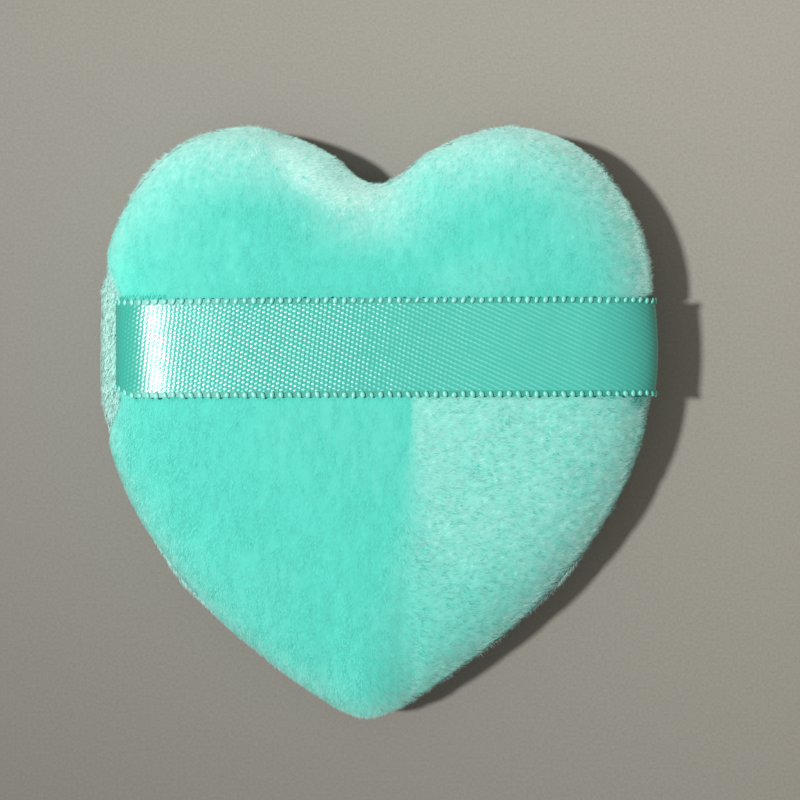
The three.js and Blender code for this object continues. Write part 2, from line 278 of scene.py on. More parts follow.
def pad_surface(s, t, side):
    places = on_heart(s, t)
    distance, nearest = distance_in(places)
    share = shoulder(distance)
    if side > 0:
        near_seam = 1 - np.clip(distance / shoulder_width, 0, 1)
        z = seam_height + crown_height * share
    else:
        near_seam = 1 - smooth_step(0, 0.3, share)
        z = seam_height - belly_height * share
    pull = tail_pull(places)
    lift = (1 - share) if side > 0 else near_seam
    drawn = pull * near_seam * tail_pull_in
    if side < 0:
        a, b, c, d = rim_bulge_shares
        bulge = smooth_step(a, b, share) * (1 - smooth_step(c, d, share))
        bulge *= (1 - smooth_step(*rim_bulge_fade, past_ribbon(places))) * (places[:, 0] < axis_x)
        drawn -= bulge * rim_bulge
    places = places + edge_inward[nearest] * drawn[:, None]
    return np.column_stack([places, z + pull * lift * tail_pull_up])


# %% [markdown]
# ## Stuffing the pad
# Sewn covers that are filled with foam bulge between their seams. A cloth simulation finds
# that bulge: a coarse copy of the pad, ten times its size because the solver expects garments,
# is blown up with a little pressure while its seam is held. The pad starts lower than it will
# be, so the way that each point has moved is scaled to bring the middle up to its real height.
# It has a cap, and the fine surfaces below are moved by the same way.

# %% A coarse closed pad
form_cells = 44
form_side = form_cells + 1


def square_grid(bm, cells):
    bmesh.ops.create_grid(bm, x_segments=cells, y_segments=cells, size=1)
    return np.array([v.co for v in bm.verts])


def put(bm, places):
    for vert, place in zip(bm.verts, places):
        vert.co = place


def as_mesh(bm, name):
    mesh = bpy.data.meshes.new(name)
    bm.to_mesh(mesh)
    bm.free()
    return mesh


def coarse_form():
    whole = bmesh.new()
    for side in (1, -1):
        bm = bmesh.new()
        flat = square_grid(bm, form_cells)
        put(bm, pad_surface(flat[:, 0], flat[:, 1], side))
        if side < 0:
            bmesh.ops.reverse_faces(bm, faces=bm.faces)
        half = as_mesh(bm, "form_half")
        whole.from_mesh(half)
        bpy.data.meshes.remove(half)
    return as_mesh(whole, "pad_form"), flat


# %% Blow it up
swell_cap = 1.3 * mm
form_scale = 10
simulated_frames = 20


def swollen_by():
    mesh, flat = coarse_form()
    start = np.array([v.co for v in mesh.vertices])
    on_seam = np.isclose(np.abs(flat).max(1), 1)
    seam = np.tile(on_seam, 2)
    form = bpy.data.objects.new("pad_form", mesh)
    bpy.context.scene.collection.objects.link(form)
    mesh.transform(Matrix.Scale(form_scale, 4))
    held = form.vertex_groups.new(name="seam")
    held.add(np.flatnonzero(seam).tolist(), 1.0, "REPLACE")
    cloth = form.modifiers.new("stuffing", "CLOTH")
    cloth.settings.quality = 6
    cloth.settings.mass = 0.3
    cloth.settings.tension_stiffness = 12
    cloth.settings.compression_stiffness = 12
    cloth.settings.bending_stiffness = 1.5
    cloth.settings.use_pressure = True
    cloth.settings.uniform_pressure_force = 4
    cloth.settings.effector_weights.gravity = 0
    cloth.settings.vertex_group_mass = "seam"
    cloth.collision_settings.use_collision = False
    for step in range(simulated_frames):
        bpy.context.scene.frame_set(step + 1)
    done = form.evaluated_get(bpy.context.evaluated_depsgraph_get())
    end = np.array([v.co for v in done.data.vertices]) / form_scale
    bpy.context.scene.frame_set(1)
    bpy.data.objects.remove(form)
    bpy.data.meshes.remove(mesh)
    moved = end - start
    far = np.linalg.norm(moved, axis=1)
    print(f"the pressure moved the form by up to {far.max() / mm:.2f} mm")
    moved *= swell_height / moved[:, 2].max()
    far = np.linalg.norm(moved, axis=1)
    share = np.minimum(1, swell_cap / np.maximum(far, 1e-9))
    return (moved * share[:, None]).reshape(2, -1, 3), flat


swell, form_flat = swollen_by()

# %% The way at any place between the coarse points
form_order = np.lexsort((np.round(form_flat[:, 0], 6), np.round(form_flat[:, 1], 6)))
swell_tables = [swell[k][form_order].reshape(form_side, form_side, 3) for k in (0, 1)]


def swell_at(s, t, side):
    table = swell_tables[0 if side > 0 else 1]
    across, up = (np.clip((value + 1) / 2 * form_cells, 0, form_cells - 1e-6) for value in (s, t))
    i = across.astype(int)
    j = up.astype(int)
    a = (across - i)[:, None]
    b = (up - j)[:, None]
    low = table[j, i] * (1 - a) + table[j, i + 1] * a
    high = table[j + 1, i] * (1 - a) + table[j + 1, i + 1] * a
    return low * (1 - b) + high * b


def stuffed_surface(s, t, side):
    moved = swell_at(s, t, side)
    places = pad_surface(s, t, side) + moved
    if side > 0:
        sunk = 1 - smooth_step(*ribbon_bed, past_ribbon(places))
        places[:, 2] -= ribbon_press * sunk * smooth_step(seam_height, strap_high.z, places[:, 2])
    else:
        places[:, 2] = np.maximum(places[:, 2], 0)
    return places


def before_the_pull(places):
    distance, nearest = distance_in(places)
    drawn = tail_pull(places) * tail_pull_in
    before = np.maximum((distance - drawn) / (1 - drawn / shoulder_width), 0)
    before = np.where(distance < shoulder_width, before, distance)
    return places - edge_inward[nearest] * (distance - before)[:, None], before


def height_under(places, side, depth):
    moved_back, distance = before_the_pull(places)
    surface = stuffed_surface(*off_heart(moved_back), side)[:, 2]
    rise = side * (surface - seam_height) - depth
    steep = (crown_height - depth) * shoulder(np.maximum(distance - depth, 0))
    steep = np.where(distance < shoulder_width, steep, rise)
    return seam_height + side * np.minimum(rise, steep)


print(f"swell table {form_side} x {form_side}")

# %% [markdown]
# ## Where the pile was brushed
# The pile of velour lies the way that it was last stroked. Stroked one way it looks deep and
# even. Stroked the other way its tips stand up, and the place looks paler and rougher. The
# photograph shows the paler places below the ribbon on the right, along the right lobe's edge,
# and at the top of the left lobe. They are soft shapes here, worked out from plain distances.

# %% How brushed up the pile is at a place
border_x = 3.2 * mm
border_slant = 0.1
border_blur = 0.35 * mm
border_fade = 0.24
right_edge_reach = (1.5 * mm, 8 * mm)
right_edge_from = (9 * mm, 18 * mm)


def patch(places, centre, radii, turn):
    away = places[:, :2] - np.array(centre) * mm
    c, s = math.cos(turn), math.sin(turn)
    x = (away[:, 0] * c + away[:, 1] * s) / (radii[0] * mm)
    y = (-away[:, 0] * s + away[:, 1] * c) / (radii[1] * mm)
    return 1 - smooth_step(0.55, 1.25, np.hypot(x, y))


def brushed_places(places, distance):
    x = places[:, 0]
    y = places[:, 1]
    below = ribbon_middle_y - ribbon_width / 2 - y
    border = border_x - border_slant * np.clip(below - 10 * mm, 0, None)
    blur = border_blur + border_fade * np.clip(below - 3 * mm, 0, None)
    lower_right = smooth_step(-1, 1, (x - border) / blur) * (below > 0)
    right_edge = (1 - smooth_step(*right_edge_reach, distance)) * smooth_step(*right_edge_from, x)
    right_edge *= y > ribbon_middle_y
    left_top = patch(places, (-5.2, 25), (5.5, 3.4), -0.45)
    beside_ribbon = 0.5 * patch(places, (9.5, 14.2), (4.5, 2.2), 0.1)
    return lower_right, right_edge, left_top, beside_ribbon


def brushed_up(places, distance):
    return np.clip(sum(brushed_places(places, distance)), 0, 1)


# %% How pale the pile is at a place: the brushed nap's own paler tone, and a painted sheen along the edges, at the tops of the lobes and over the powder side
painted_edge_sheen, painted_edge_sheen_reach = 0.55, 1.3 * mm
painted_lobe_sheen, painted_lobe_sheen_reach = 0.5, (1.5 * mm, 9.5 * mm)
right_pale_and_painted_sheen, right_pale_and_painted_sheen_reach = 0.8, 2.6 * mm
low_pale, low_pale_loss, low_pale_span = 0.4, 0.2, (12 * mm, 24 * mm)
left_top_pale = 0.5
beside_pale = 0.15
painted_powder_sheen = 0.55


def paleness_and_painted_sheen(places, distance, nearest, side):
    x, y = np.clip(-edge_inward[nearest].T, 0, 1)
    # painted sheen near every edge, and over all of the powder side
    pale = painted_edge_sheen * near(distance, painted_edge_sheen_reach)
    if side < 0:
        return pale + painted_powder_sheen
    lower_right, _, left_top, beside_ribbon = brushed_places(places, distance)
    below = ribbon_middle_y - ribbon_width / 2 - places[:, 1]
    # painted sheen on the tops of the lobes; the right lobe's edge is brushed up and also gets painted
    # sheen
    pale += y ** 2 * painted_lobe_sheen * (1 - smooth_step(*painted_lobe_sheen_reach, distance))
    pale += x * (places[:, 1] > ribbon_middle_y) * right_pale_and_painted_sheen * near(distance, right_pale_and_painted_sheen_reach)
    pale += lower_right * (low_pale - low_pale_loss * smooth_step(*low_pale_span, below))
    return pale + left_top_pale * left_top + beside_pale * beside_ribbon


# %% [markdown]
# ## Finishes
# Each cloth gets a node material. Numbers that are the same all over sit on the shader itself.
# What varies, such as the painted shade from the nap's roots to its tips, and the painted sheen,
# painted light and painted shade near the pad's edges, comes from attributes that the pieces
# carry, or from noise in the object's own coordinates, so that it stays put in every view.

# %% Colours and node helpers
def tone(red, green, blue):
    return tuple((v / 255 / 12.92 if v <= 10 else ((v / 255 + 0.055) / 1.055) ** 2.4)
                 for v in (red, green, blue)) + (1.0,)


def finish(name, roughness, **inputs):
    material = bpy.data.materials.new(name)
    material.use_nodes = True
    shader = material.node_tree.nodes["Principled BSDF"]
    shader.inputs["Roughness"].default_value = roughness
    for key, value in inputs.items():
        shader.inputs[key.replace("_", " ")].default_value = value
    return material, material.node_tree, shader


def add(tree, kind, **settings):
    node = tree.nodes.new(kind)
    for key, value in settings.items():
        if hasattr(node, key):
            setattr(node, key, value)
        else:
            node.inputs[key].default_value = value
    return node


def feed(tree, socket, value):
    if isinstance(value, (int, float, tuple)):
        socket.default_value = value
    else:
        tree.links.new(value, socket)


def calculate(tree, operation, *values, clamp=False):
    node = add(tree, "ShaderNodeMath", operation=operation, use_clamp=clamp)
    for socket, value in zip(node.inputs, values):
        feed(tree, socket, value)
    return node.outputs[0]


def blend_colours(tree, share, first, second):
    node = add(tree, "ShaderNodeMix", data_type="RGBA")
    for socket, value in ((node.inputs[0], share), (node.inputs[6], first), (node.inputs[7], second)):
        feed(tree, socket, value)
    return node.outputs[2]


def ramp(tree, value, start, end, low, high):
    node = add(tree, "ShaderNodeMapRange")
    feed(tree, node.inputs["Value"], value)
    for name, number in (("From Min", start), ("From Max", end), ("To Min", low), ("To Max", high)):
        node.inputs[name].default_value = number
    return node.outputs[0]


def brightened(tree, colour, value):
    node = add(tree, "ShaderNodeHueSaturation")
    feed(tree, node.inputs["Color"], colour)
    feed(tree, node.inputs["Value"], value)
    return node.outputs["Color"]


def attribute(tree, name):
    return add(tree, "ShaderNodeAttribute", attribute_name=name).outputs["Fac"]


def object_place(tree):
    return add(tree, "ShaderNodeTexCoord").outputs["Object"]


# %% A finish with one pattern in its colour and its bump
def textured(name, roughness, texture, colours, bump=None, **inputs):
    kind, output, settings = texture
    material, tree, shader = finish(name, roughness, **inputs)
    pattern = add(tree, kind, **settings)
    feed(tree, pattern.inputs["Vector"], object_place(tree))
    colour = blend_colours(tree, pattern.outputs[output], *colours)
    feed(tree, shader.inputs["Base Color"], colour)
    if bump:
        strength, height = bump
        raised = add(tree, "ShaderNodeBump", Strength=strength, Distance=height)
        feed(tree, raised.inputs["Height"], pattern.outputs[output])
        feed(tree, shader.inputs["Normal"], raised.outputs["Normal"])
    return material, tree, shader, colour


# %% Velour: its ground and its pile
# the root colour is a painted shade deep in the pile
painted_root_shade_teal = tone(78, 196, 178)
bright_teal = tone(90, 212, 197)
# pale_teal is the brushed nap's paler tone and also the colour of the painted sheen
pale_teal = tone(180, 230, 220)
ground_teal = tone(80, 198, 181)
# painted shade: the dark pile colour along the ribbon's edges, in the crease and in the tuck
painted_shade_teal = tone(36, 160, 142)
tip_power = 1.2
shade_base = 0.92
shade_range = 0.16


def velour_ground():
    speckle = ("ShaderNodeTexNoise", "Fac", {"Scale": 2600.0, "Detail": 2.0})
    material, tree, shader, colour = textured(
        "velour ground", 0.95, speckle, (ground_teal, bright_teal), (0.5, 0.05 * mm),
        Sheen_Weight=0.3, Sheen_Roughness=0.5)
    # the pale attribute mixes in the brushed nap's paler tone and a painted sheen
    colour = blend_colours(tree, attribute(tree, "pale"), colour, pale_teal)
    feed(tree, shader.inputs["Base Color"], colour)
    return material


def velour_pile():
    material, tree, shader = finish("velour pile", 0.9, Sheen_Weight=0.6, Sheen_Roughness=0.4,
                                    Specular_IOR_Level=0.2)
    # painted shade: the roots are darker than the tips
    tip = calculate(tree, "POWER", attribute(tree, "up"), tip_power)
    colour = blend_colours(tree, tip, painted_root_shade_teal, bright_teal)
    # the pale attribute mixes in the brushed nap's paler tone and a painted sheen
    colour = blend_colours(tree, attribute(tree, "pale"), colour, pale_teal)
    # painted shade along the ribbon's edges, in the crease and in the tuck
    colour = blend_colours(tree, attribute(tree, "painted_shade"), colour, painted_shade_teal)
    # shade: tone that differs at random and in streaks, plus painted light and shade near the edges and a
    # painted shade over the powder side
    shade = calculate(tree, "MULTIPLY_ADD", attribute(tree, "shade"), shade_range, shade_base)
    feed(tree, shader.inputs["Base Color"], brightened(tree, colour, shade))
    return material


ground_finish = velour_ground()
pile_finish = velour_pile()

# %% [markdown]
# ## The two covers
# A cover is a dish of velour. Its outer face is the square sheet bent to the heart. At the seam
# the cloth folds in, runs a few millimetres towards the middle as the seam allowance, and the
# back of the cloth closes the shell. Extruding the sheet's free edge ring by ring models that
# fold the way it is sewn. The outer face lies below the CAD surface by the depth of the pile.

# %% One cover
cover_cells = 220
inner_rings = (0.98, 0.97, 0.96, 0.95, 0.93, 0.9, 0.85, 0.75, 0.5)


def extrude_ring(bm, edges, places):
    made = bmesh.ops.extrude_edge_only(bm, edges=edges)["geom"]
    ring = [e for e in made if isinstance(e, bmesh.types.BMEdge) and e.is_boundary]
    verts = [v for v in made if isinstance(v, bmesh.types.BMVert)]
    for vert in verts:
        vert.co = places(vert.co)
    return ring, verts


def cover_mesh(name, side):
    bm = bmesh.new()
    flat = square_grid(bm, cover_cells)
    put(bm, stuffed_surface(flat[:, 0], flat[:, 1], side))
    if side < 0:
        bmesh.ops.reverse_faces(bm, faces=bm.faces)
    bm.normal_update()
    for vert in bm.verts:
        if vert.is_boundary:
            _, nearest = distance_in(np.array([vert.co[:2]]))
            vert.co += Vector((*edge_inward[nearest[0]], 0)) * pile_depth
        else:
            vert.co -= vert.normal * pile_depth
    if side < 0:
        for vert in bm.verts:
            vert.co.z = max(vert.co.z, pile_depth)
    rim = [e for e in bm.edges if e.is_boundary]
    folds = [
        (allowance_width, seam_half_gap),
        (allowance_width, seam_half_gap + allowance_thickness),
        (wall_thickness, seam_half_gap + allowance_thickness),
    ]

    def folded(inset, lift):
        def place(co):
            _, nearest = distance_in(np.array([[co.x, co.y]]))
            k = nearest[0]
            inward = edge_inward[k]
            pull = float(tail_pull(edge[k][None])[0])
            start = edge[k] + inward * (pull * tail_pull_in + inset)
            return Vector((start[0], start[1], seam_height + pull * tail_pull_up + side * lift))
        return place

    for inset, lift in folds:
        rim, _ = extrude_ring(bm, rim, folded(inset, lift))
    lowest = seam_half_gap + allowance_thickness

    def inner(share):
        def place(co):
            at = heart_middle + (np.array([co.x, co.y]) - heart_middle) * share
            z = height_under(at[None], side, wall_thickness)[0]
            rise = max(side * (z - seam_height), lowest)
            return Vector((at[0], at[1], seam_height + side * rise))
        return place

    for share in inner_rings:
        rim, _ = extrude_ring(bm, rim, inner(share))
    centre = inner(0)(Vector((*heart_middle, 0)))
    _, verts = extrude_ring(bm, rim, lambda co: centre)
    bmesh.ops.pointmerge(bm, verts=verts, merge_co=centre)
    mesh = as_mesh(bm, name)
    mesh.shade_smooth()
    print(f"{name}: {len(mesh.polygons)} faces")
    return mesh


# %% Show an object
def show(name, mesh, material):
    piece = bpy.data.objects.new(name, mesh)
    bpy.context.scene.collection.objects.link(piece)
    mesh.materials.append(material)
    return piece


def set_attribute(mesh, name, values):
    layer = mesh.attributes.new(name, "FLOAT", "POINT")
    layer.data.foreach_set("value", np.asarray(values, np.float32))


def mesh_places(mesh):
    places = np.empty(len(mesh.vertices) * 3, np.float32)
    mesh.vertices.foreach_get("co", places)
    return places.reshape(-1, 3).astype(float)


covers = {}
for side, node in ((1, "strap_side_cover"), (-1, "powder_side_cover")):
    mesh = cover_mesh(f"{node}_velour", side)
    at = mesh_places(mesh)
    distance, nearest = distance_in(at[:, :2])
    # pale: the brushed nap's paler tone and a painted sheen
    set_attribute(mesh, "pale", np.clip(paleness_and_painted_sheen(at, distance, nearest, side), 0, 1))
    piece = show(f"{node}_velour", mesh, ground_finish)
    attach(piece, "pad")
    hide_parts(node)
    covers[side] = mesh

# %% [markdown]
# ## The pile
# Velour is cut pile: fibres of under a millimetre that stand on a knitted ground. Each tuft
# here is a three-sided cone, made once and copied more than 200,000 times with its own place,
# lean and length. Neighbours lean alike, because a slow noise turns them together, and a little
# chance keeps them apart. Where the pile was brushed they lean to the right and scatter, and
# elsewhere they lie down towards the tip. The copies are split into pieces, so that none is too
# heavy. They carry soft normals, near those of the pad, so that they shade like pile.

# %% One tuft
def corners_and_faces(bm):
    corners = np.array([v.co for v in bm.verts])
    bmesh.ops.triangulate(bm, faces=bm.faces)
    bm.verts.index_update()
    faces = np.array([[v.index for v in f.verts] for f in bm.faces])
    bm.free()
    return corners, faces


def one_tuft():
    bm = bmesh.new()
    bmesh.ops.create_cone(bm, cap_ends=True, segments=3, radius1=1, radius2=0, depth=1)
    bmesh.ops.translate(bm, verts=bm.verts, vec=(0, 0, 0.5))
    return corners_and_faces(bm)


tuft_flatness = 0.3
tuft_spin = 0.25
steep_side = 0.5
nap_tilt = 0.12
fibre_round = 0.25
light_wrap = 0.85
lowest_pile = 0.02 * mm
tuft_corners, tuft_faces = one_tuft()
print(f"a tuft has {len(tuft_corners)} corners and {len(tuft_faces)} faces")


# %% Copies of the tuft as one mesh
def tuft_copies(name, roots, normals, ways, lengths, widths, facts, random):
    first = np.cross(normals, ways)
    first /= np.maximum(np.linalg.norm(first, axis=1), 1e-9)[:, None]
    first[(first[:, 2] > 0) & (normals[:, 2] < steep_side)] *= -1
    second = np.cross(ways, first)
    spin = random.normal(0, tuft_spin, len(roots))[:, None]
    across = (first * np.cos(spin) + second * np.sin(spin)) * widths[:, None]
    aside = (second * np.cos(spin) - first * np.sin(spin)) * widths[:, None] * tuft_flatness
    upward = ways * lengths[:, None]
    c = tuft_corners
    places = (roots[:, None] + across[:, None] * c[:, 0, None] + aside[:, None] * c[:, 1, None]
              + upward[:, None] * c[:, 2, None])
    places[:, :, 2] = np.maximum(places[:, :, 2], lowest_pile)
    count, corners = len(roots), len(c)
    faces = (tuft_faces[None] + corners * np.arange(count)[:, None, None]).reshape(-1, 3)
    mesh = bpy.data.meshes.new(name)
    mesh.vertices.add(count * corners)
    mesh.vertices.foreach_set("co", places.astype(np.float32).ravel())
    mesh.loops.add(faces.size)
    mesh.loops.foreach_set("vertex_index", faces.astype(np.int32).ravel())
    mesh.polygons.add(len(faces))
    mesh.polygons.foreach_set("loop_start", np.arange(0, faces.size, 3, dtype=np.int32))
    mesh.update(calc_edges=True)
    outward = across[:, None] * c[:, 0, None] + aside[:, None] * c[:, 1, None]
    outward /= np.maximum(np.linalg.norm(outward, axis=2), 1e-9)[:, :, None]
    up = np.array([0, 0, 1]) * (light_wrap * (1 - normals[:, 2:]))
    round_by = fibre_round * np.where(normals[:, 2] > 0.3, 1, 0.3)
    soft = (normals + up + ways * nap_tilt)[:, None] + outward * round_by[:, None, None]
    soft /= np.linalg.norm(soft, axis=2)[:, :, None]
    mesh.normals_split_custom_set_from_vertices(soft.reshape(-1, 3))
    set_attribute(mesh, "up", np.tile(c[:, 2], count))
    for fact, values in facts.items():
        set_attribute(mesh, fact, np.repeat(values, corners))
    lay_out_tufts(mesh, faces, count)
    return mesh


# %% A map that gives each tuft a small square of its own
def lay_out_tufts(mesh, faces, count):
    layer = mesh.uv_layers.new(name="OFBake")
    cells = math.ceil(math.sqrt(count))
    flat = np.array([(0.12, 0.1), (0.88, 0.1), (0.5, 0.1), (0.5, 0.9)])
    rank = np.argsort(np.argsort(tuft_corners[:, 2] * 10 + np.arange(len(tuft_corners))))
    tuft = faces // len(tuft_corners)
    local = flat[rank[faces % len(tuft_corners)]]
    place = (np.stack([tuft % cells, tuft // cells], axis=2) + local) / cells
    layer.data.foreach_set("uv", place.astype(np.float32).ravel())


# %% Even places on a cover's outer face
pile_spacing = 0.165 * mm
tuft_width = 0.06 * mm
powder_density = 0.55
powder_rim_density = 1.6
powder_rim_reach = 2.5 * mm


def outer_faces(mesh):
    loops = np.empty(len(mesh.loops), np.int32)
    mesh.loops.foreach_get("vertex_index", loops)
    starts = np.empty(len(mesh.polygons), np.int32)
    mesh.polygons.foreach_get("loop_start", starts)
    return loops[starts[:cover_cells ** 2, None] + np.arange(4)]


def places_on(side, random):
    corners = outer_faces(covers[side])
    at = mesh_places(covers[side])
    a, b, c, d = (at[corners[:, k]] for k in range(4))
    area = np.linalg.norm(np.cross(c - a, d - b), axis=1) / 2
    wanted = area / pile_spacing ** 2
    if side < 0:
        distance, _ = distance_in((a + c)[:, :2] / 2)
        wanted *= powder_density + powder_rim_density * near(distance, powder_rim_reach)
    edges = np.cumsum(wanted)
    count = int(edges[-1])
    marks = np.arange(count) + random.uniform(0, 1, count)
    face = np.minimum(np.searchsorted(edges, marks), len(edges) - 1)
    u = random.uniform(0, 1, (count, 1))
    v = random.uniform(0, 1, (count, 1))
    low = a[face] * (1 - u) + b[face] * u
    high = d[face] * (1 - u) + c[face] * u
    return low * (1 - v) + high * v


# %% A slow noise for many places at once
noise_tables = [np.random.default_rng(seed).uniform(-1, 1, (32, 32, 32)) for seed in (3, 5, 7)]


def slow_noise(places, scale, table):
    size = table.shape[0]
    grid = places / scale
    cell = np.floor(grid).astype(int)
    part = grid - cell
    part = part * part * (3 - 2 * part)
    total = np.zeros(len(places))
    for corner in np.ndindex(2, 2, 2):
        weight = np.prod(np.where(corner, part, 1 - part), axis=1)
        i, j, k = ((cell + corner) % size).T
        total += weight * table[i, j, k]
    return total


# %% Painted shade along the ribbon's edges, in the crease above its left end and in the tuck below its right end
def painted_shade_places(roots, side):
    if side < 0:
        return np.zeros(len(roots))
    x, y = roots[:, 0] / mm, roots[:, 1] / mm
    top = (ribbon_y + ribbon_face / 2) / mm
    bottom = (ribbon_y - ribbon_face / 2) / mm

    def fades(value, middle, width):
        return np.exp(-((value - middle) / width) ** 2)

    # painted shade: thin lines along both edges of the ribbon, a painted shadow in the crease above its
    # left end and in the tuck below its right end
    line = fades(y, top, 0.16) + fades(y, bottom, 0.16)
    crease = fades(y, top + 0.16, 0.22) * (x < -21) * (x > -26.4)
    tuck = fades(x, 25.5, 0.7) * fades(y, bottom - 0.45, 0.6)
    return np.clip(0.25 * line + 1.3 * (crease + tuck), 0, 1)


# %% The way out of a rounded side
slope_step = 0.03 * mm
dome_reach = 21 * mm


def side_normals(roots, side):
    _, distance = before_the_pull(roots[:, :2])
    _, nearest = distance_in(roots[:, :2])
    low, high = np.maximum(distance - slope_step, 0), distance + slope_step
    height = crown_height if side > 0 else belly_height
    slope = height * (shoulder(high) - shoulder(low)) / (high - low)
    if side > 0:
        dome = smooth_step(0, dome_reach, high) - smooth_step(0, dome_reach, low)
        slope += swell_height * dome / (high - low)
    else:
        slope *= height * shoulder(distance) < seam_height
    normals = np.column_stack([-edge_inward[nearest] * slope[:, None], np.full(len(roots), side)])
    return normals / np.linalg.norm(normals, axis=1)[:, None]


# %% Painted light and shade towards the edge: painted shade on the left edges and over the lower left, painted light at the tops of the lobes' edges and along the right lobe's edge, and a lighter patch at the top of the left lobe
def painted_edge_light(roots, distance, outward):
    right, up = np.clip(outward[:, :2].T, 0, 1)
    left, down = np.clip(-outward[:, :2].T, 0, 1)
    below = roots[:, 1] < ribbon_middle_y
    _, _, left_top, _ = brushed_places(roots, distance)
    low_left = below * (0.8 * near(distance, 8 * mm) + 1.8 * down * near(distance, 2 * mm))
    darker = left * (2.1 * near(distance, 0.7 * mm) + low_left)
    lighter = 1.2 * up * (1 - left) * near(distance, 0.6 * mm)
    lighter += 2.4 * right * ~below * near(distance, 2.2 * mm)
    return lighter + 1.6 * left_top - darker


# %% How every tuft on a side leans
smooth_lean = np.array([-1.05, -3.0, 0.0])
brushed_lean = np.array([2.4, 0.5, 0.0])
least_lean = 2.4
patch_size = 1.1 * mm
lock_size = 0.34 * mm
rim_reach = 0.9 * mm
powder_brushed = 0.35


def lean_of(roots, normals, brushed, outward, rim, wander, chance):
    rough = brushed[:, None]
    turn = np.stack([slow_noise(roots, patch_size, table) for table in noise_tables], axis=1)
    lean = smooth_lean * (1 - rough) + brushed_lean * rough
    lean += turn * (0.6 + 0.5 * rough) + wander * (0.7 + 0.5 * rough) + chance * (0.3 + 0.2 * rough)
    lean *= np.maximum(1, least_lean / np.linalg.norm(lean, axis=1))[:, None]
    x = outward[:, 0]
    lean += outward * (rim * (0.5 * np.abs(x) + 1.6 * np.clip(x, 0, 1)))[:, None]
    return lean - normals * (lean * normals).sum(1)[:, None]


# %% Lean, length and colour of every tuft on a side
shade_limits = (-2.5, 2)
# painted shade: the powder side's pile is darker all over
painted_powder_shade = -1.1
powder_calm = 0.3


def pile_on(side, random):
    roots = places_on(side, random)
    normals = side_normals(roots, side)
    distance, nearest = distance_in(roots[:, :2])
    strap_side = side > 0
    brushed = brushed_up(roots, distance) if strap_side else np.full(len(roots), powder_brushed)
    wander = np.stack([slow_noise(roots, lock_size, table) for table in noise_tables], axis=1)
    chance = random.normal(0, 1, (len(roots), 3))
    outward = np.column_stack([-edge_inward[nearest], np.zeros(len(roots))])
    rim = near(distance, rim_reach)
    ways = normals + lean_of(roots, normals, brushed, outward, rim, wander, chance)
    covered = np.zeros(len(roots))
    if strap_side:
        covered = (1 - smooth_step(-0.5 * mm, 0.15 * mm, past_ribbon(roots))) * (roots[:, 2] > seam_height)
        ways = ways - normals * (0.9 * covered)[:, None]
    ways /= np.linalg.norm(ways, axis=1)[:, None]
    lengths = pile_length * (1 + 0.18 * chance[:, 0]) * (1 - 0.6 * covered)
    lengths *= 1 + rim * (0.1 + 0.6 * np.clip(outward[:, 0], 0, 1))
    lengths = np.clip(lengths, 0.2 * mm, 1.0 * mm)
    calm = 1 if strap_side else powder_calm
    streaks = slow_noise(roots / (0.5, 1.3, 1), 1 * mm, noise_tables[0])
    shade = random.uniform(0.2, 0.8, len(roots)) + 0.6 * streaks * (1 - brushed)
    shade += calm * wander[:, 2] * (0.5 + 1.0 * brushed)
    if strap_side:
        # painted light and painted shade near the edges go into the shade value here
        shade = np.clip(shade + painted_edge_light(roots, distance, outward), *shade_limits)
    else:
        # painted shade over the powder side
        shade += painted_powder_shade
    # pale: the brushed nap's paler tone and a painted sheen, with random variation
    pale = paleness_and_painted_sheen(roots, distance, nearest, side)
    pale = pale * (1 + calm * (0.75 * wander[:, 1] + 0.25 * chance[:, 1]))
    pale += 0.07 * slow_noise(roots, 5 * mm, noise_tables[2]) + 0.05 * streaks * (1 - brushed)
    # the painted shade beside the ribbon goes on every tuft with its other facts
    facts = {"pale": np.clip(pale, 0, 1), "shade": shade, "painted_shade": painted_shade_places(roots, side)}
    return roots, normals, ways, lengths, facts


# %% Plant the pile
def quarters(roots, line_y):
    left = roots[:, 0] < axis_x
    upper = roots[:, 1] > line_y
    return {
        "left_lobe": upper & left, "right_lobe": upper & ~left,
        "left_flank": ~upper & left, "right_flank": ~upper & ~left,
    }


def plant(side, node, line_y):
    random = np.random.default_rng(11 + side)
    roots, normals, ways, lengths, facts = pile_on(side, random)
    widths = tuft_width * random.uniform(0.7, 1.3, len(roots))
    for quarter, inside in quarters(roots, line_y).items():
        own_facts = {fact: values[inside] for fact, values in facts.items()}
        name = f"{node}_pile_{quarter}"
        mesh = tuft_copies(name, roots[inside], normals[inside], ways[inside], lengths[inside],
                           widths[inside], own_facts, random)
        piece = show(name, mesh, pile_finish)
        piece.visible_shadow = False
        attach(piece, "pad")
        print(f"{name}: {inside.sum()} tufts, {len(mesh.polygons)} faces")


plant(1, "strap_side_cover", ribbon_middle_y)
plant(-1, "powder_side_cover", axis_y + 5 * mm)

# %% [markdown]
# ## The finger ribbon
# A satin ribbon lies flat across the pad. Its ends go down over the shoulders and into the
# seam, tight on the left and with a little slack on the right. It is one strip of cells bent to
# that way. The finger lifts its middle while its ends stay sewn in, so it is made in two
# halves.

# %% The ribbon's way, seen from the tip
ribbon_thickness = 0.2 * mm
ribbon_gap = 0.1 * mm
ribbon_slack = 2.4 * mm
ribbon_bow = 0.35 * mm
ribbon_bow_span = (23.5 * mm, 28 * mm)
ribbon_turn = 0.0045
end_narrowing = 0.2
end_narrowing_span = (-26.8 * mm, -24.3 * mm)
tail_length = 3.0 * mm
ribbon_step = 0.08 * mm
ribbon_ease = 9


